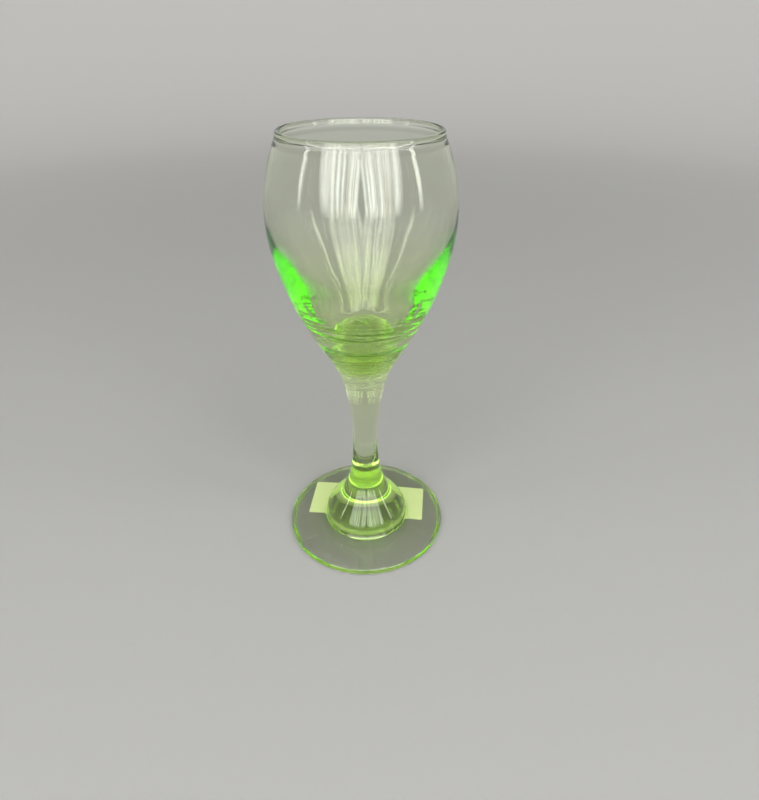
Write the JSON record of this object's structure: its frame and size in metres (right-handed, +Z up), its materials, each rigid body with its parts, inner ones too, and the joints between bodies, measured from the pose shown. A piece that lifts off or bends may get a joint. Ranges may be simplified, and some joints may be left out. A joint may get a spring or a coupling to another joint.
{
  "type": "wine glass",
  "caption": "Stemmed wine glass: clear tulip bowl turning green towards a thick base, waisted green stem, round green foot with a domed boss, blank paper label underneath.",
  "frame": {"origin": "centre of the resting ring's plane, on the glass's axis", "axes": "+Z up along the glass's axis, +Y towards the side of the foot that the label lies under, +X to the right seen from the front"},
  "size_m": [0.0662, 0.0662, 0.165],
  "materials": {
    "bowl_glass": "polished",
    "stem_glass": "polished",
    "foot_glass": "polished",
    "label_paper": "matte"
  },
  "bodies": {
    "root": {"bowl": "bowl_glass", "stem": "stem_glass", "foot": "foot_glass", "label": "label_paper"}
  },
  "joints": []
}
